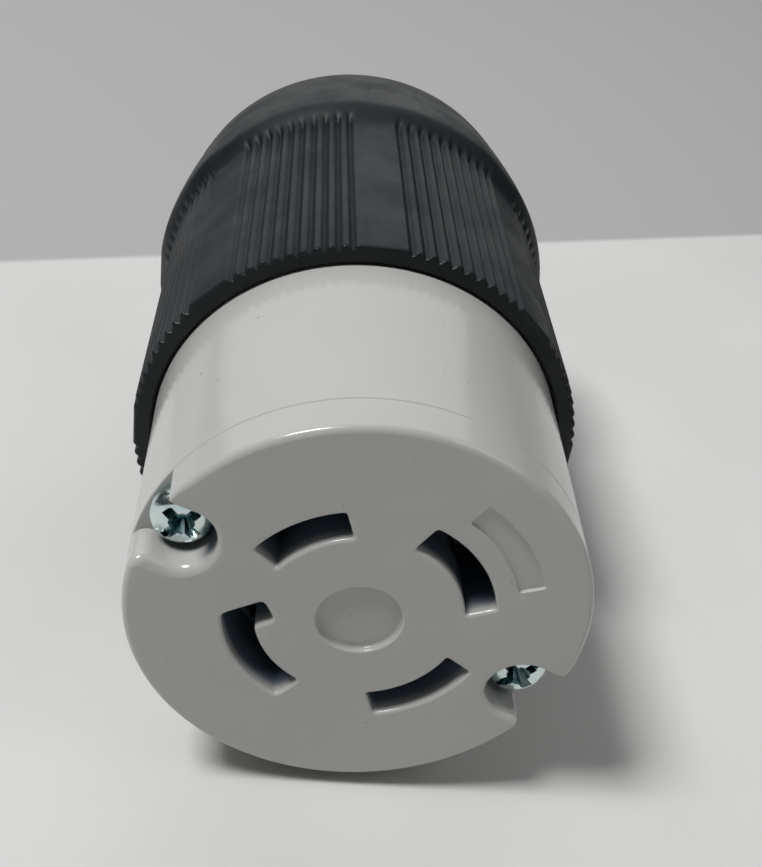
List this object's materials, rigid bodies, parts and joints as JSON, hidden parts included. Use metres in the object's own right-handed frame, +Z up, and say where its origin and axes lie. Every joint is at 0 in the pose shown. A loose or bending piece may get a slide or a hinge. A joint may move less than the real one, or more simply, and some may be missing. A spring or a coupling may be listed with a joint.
{
  "type": "locking cord connector",
  "caption": "Round female locking connector for a shore power cord: grey slotted front, black ribbed housing, terminals and cord clamp inside.",
  "frame": {"origin": "centre of the footprint at the level of the lowest point, with the connector lying on one of its flat panels", "axes": "+Y along the connector from its mating face to its cord end, +Z up, +X to the right as seen from the mating face"},
  "size_m": [0.0636, 0.1, 0.0636],
  "materials": {
    "grey_nylon": "glossy moulded light grey nylon with fine scuffs",
    "black_nylon": "satin moulded black nylon",
    "clamp_nylon": "fine-grained black nylon",
    "inner_plastic": "dull dark grey moulded plastic",
    "brass": "stamped brass",
    "zinc_steel": "blue-white zinc-plated steel",
    "ground_screw": "green-dyed zinc plating",
    "rubber": "dull black rubber"
  },
  "bodies": {
    "front": {"face_plate": "grey_nylon", "front_body": "grey_nylon", "contact_x": "brass", "contact_y": "brass", "contact_z": "brass", "contact_ground": "brass", "wire_divider": "inner_plastic"},
    "housing": {"rear_housing": "black_nylon", "thread_insert_left": "brass", "thread_insert_right": "brass", "cord_grommet": "rubber", "clamp_jaw_fixed": "clamp_nylon"},
    "assembly_screw_left": {"assembly_screw_left": "zinc_steel"},
    "assembly_screw_right": {"assembly_screw_right": "zinc_steel"},
    "clamp_jaw": {"clamp_jaw_moving": "clamp_nylon", "clamp_nut_upper": "zinc_steel", "clamp_nut_lower": "zinc_steel"},
    "clamp_screw_upper": {"clamp_screw_upper": "zinc_steel"},
    "clamp_screw_lower": {"clamp_screw_lower": "zinc_steel"},
    "pressure_plate_x": {"pressure_plate_x": "zinc_steel"},
    "terminal_screw_x": {"terminal_screw_x": "brass"},
    "pressure_plate_y": {"pressure_plate_y": "zinc_steel"},
    "terminal_screw_y": {"terminal_screw_y": "brass"},
    "pressure_plate_z": {"pressure_plate_z": "zinc_steel"},
    "terminal_screw_z": {"terminal_screw_z": "brass"},
    "pressure_plate_ground": {"pressure_plate_ground": "zinc_steel"},
    "terminal_screw_ground": {"terminal_screw_ground": "ground_screw"}
  },
  "joints": [
    {"name": "housing_slide", "type": "slide", "parent": "front", "child": "housing", "axis": [0, 1, 0], "range_m": [0, 0.05]},
    {"name": "assembly_screw_left_turn", "type": "hinge", "parent": "front", "child": "assembly_screw_left", "pos_m": [-0.02085, -0.0447, 0.04175], "axis": [0, 1, 0], "continuous": true},
    {"name": "assembly_screw_right_turn", "type": "hinge", "parent": "front", "child": "assembly_screw_right", "pos_m": [0.02085, -0.0447, 0.02186], "axis": [0, 1, 0], "continuous": true},
    {"name": "clamp_jaw_slide", "type": "slide", "parent": "housing", "child": "clamp_jaw", "axis": [-1, 0, 0], "range_m": [0, 0.0028]},
    {"name": "clamp_screw_upper_turn", "type": "hinge", "parent": "housing", "child": "clamp_screw_upper", "pos_m": [-0.0225, 0.04265, 0.0446], "axis": [1, 0, 0], "range_deg": [0, 1260]},
    {"name": "clamp_screw_lower_turn", "type": "hinge", "parent": "housing", "child": "clamp_screw_lower", "pos_m": [-0.0225, 0.04265, 0.019], "axis": [1, 0, 0], "range_deg": [0, 1260]},
    {"name": "pressure_plate_x_slide", "type": "slide", "parent": "front", "child": "pressure_plate_x", "axis": [0.541, 0, -0.841], "range_m": [0, 0.0028]},
    {"name": "terminal_screw_x_turn", "type": "hinge", "parent": "pressure_plate_x", "child": "terminal_screw_x", "pos_m": [-0.01028, -0.001, 0.04778], "axis": [0.541, 0, -0.841], "range_deg": [0, 1260]},
    {"name": "pressure_plate_y_slide", "type": "slide", "parent": "front", "child": "pressure_plate_y", "axis": [-0.7912, 0, -0.6115], "range_m": [0, 0.0028]},
    {"name": "terminal_screw_y_turn", "type": "hinge", "parent": "pressure_plate_y", "child": "terminal_screw_y", "pos_m": [0.01503, -0.001, 0.04342], "axis": [-0.7912, 0, -0.6115], "range_deg": [0, 1260]},
    {"name": "pressure_plate_z_slide", "type": "slide", "parent": "front", "child": "pressure_plate_z", "axis": [-0.6143, 0, 0.7891], "range_m": [0, 0.0028]},
    {"name": "terminal_screw_z_turn", "type": "hinge", "parent": "pressure_plate_z", "child": "terminal_screw_z", "pos_m": [0.01167, -0.001, 0.01681], "axis": [-0.6143, 0, 0.7891], "range_deg": [0, 1260]},
    {"name": "pressure_plate_ground_slide", "type": "slide", "parent": "front", "child": "pressure_plate_ground", "axis": [0.8678, 0, 0.497], "range_m": [0, 0.0028]},
    {"name": "terminal_screw_ground_turn", "type": "hinge", "parent": "pressure_plate_ground", "child": "terminal_screw_ground", "pos_m": [-0.01649, -0.001, 0.02236], "axis": [0.8678, 0, 0.497], "range_deg": [0, 1260]}
  ],
  "couplings": [
    {"joint": "clamp_screw_upper_turn", "follows": "clamp_jaw_slide", "rad_per_m": 7854},
    {"joint": "clamp_screw_lower_turn", "follows": "clamp_jaw_slide", "rad_per_m": 7854},
    {"joint": "terminal_screw_x_turn", "follows": "pressure_plate_x_slide", "rad_per_m": 7854},
    {"joint": "terminal_screw_y_turn", "follows": "pressure_plate_y_slide", "rad_per_m": 7854},
    {"joint": "terminal_screw_z_turn", "follows": "pressure_plate_z_slide", "rad_per_m": 7854},
    {"joint": "terminal_screw_ground_turn", "follows": "pressure_plate_ground_slide", "rad_per_m": 7854}
  ]
}
